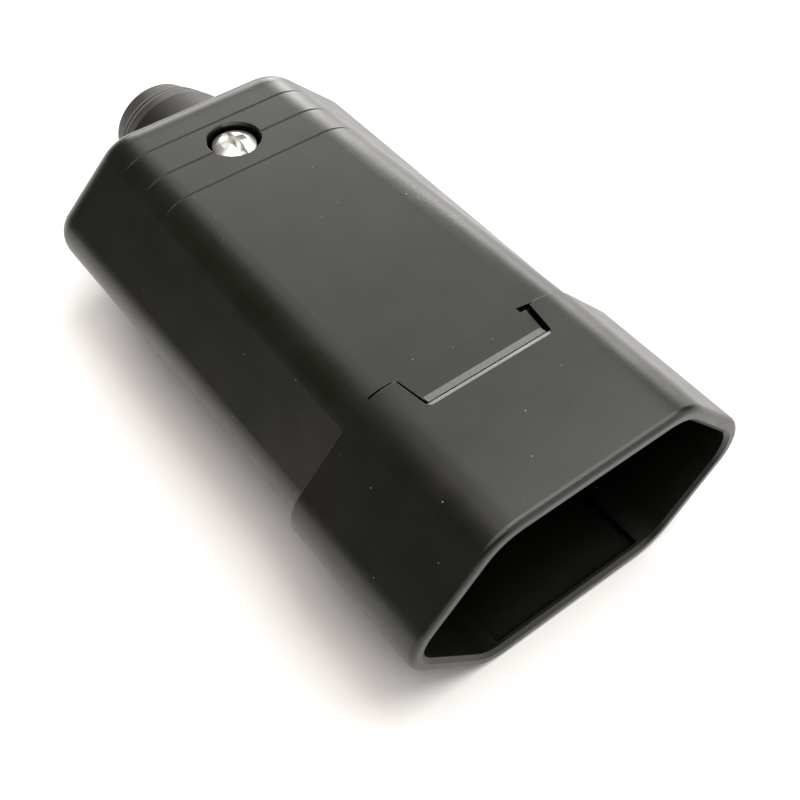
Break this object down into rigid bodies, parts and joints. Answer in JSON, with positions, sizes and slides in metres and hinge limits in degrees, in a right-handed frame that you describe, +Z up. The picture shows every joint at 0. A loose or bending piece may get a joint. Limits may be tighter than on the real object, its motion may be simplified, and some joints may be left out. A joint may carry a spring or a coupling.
{
  "type": "female power connector",
  "caption": "Rewirable female power connector for a cord: hexagonal body with a deep mouth for a plug face, latched rear cover, cord grip screw and cable bushing.",
  "frame": {"origin": "middle of the length and width, on the lowest face of the collar", "axes": "+Y from the mouth towards the cord end, +Z up through the side with the screw, +X completes a right-handed frame, to the right when one looks into the mouth"},
  "size_m": [0.0402, 0.0774, 0.0226],
  "materials": {
    "black_plastic": "fine satin moulded texture",
    "black_rubber": "matt",
    "inner_plastic": "satin",
    "plated_steel": "bright zinc plating",
    "spring_steel": "plain",
    "brass": "stamped and machined"
  },
  "bodies": {
    "root": {"front_shroud": "black_plastic", "rear_cover": "black_plastic", "cable_bushing": "black_rubber", "cord_grip_screw": "plated_steel", "cord_grip_nut": "plated_steel", "cord_grip_saddle": "inner_plastic", "contact_carrier": "inner_plastic", "contact_retainer": "inner_plastic", "carrier_screw": "plated_steel", "line_contact": "brass", "line_spring_clip": "spring_steel", "line_terminal_screw": "plated_steel", "line_pressure_plate": "spring_steel", "neutral_contact": "brass", "neutral_spring_clip": "spring_steel", "neutral_terminal_screw": "plated_steel", "neutral_pressure_plate": "spring_steel", "earth_contact": "brass", "earth_spring_clip": "spring_steel", "earth_terminal_screw": "plated_steel", "earth_pressure_plate": "spring_steel"}
  },
  "joints": []
}
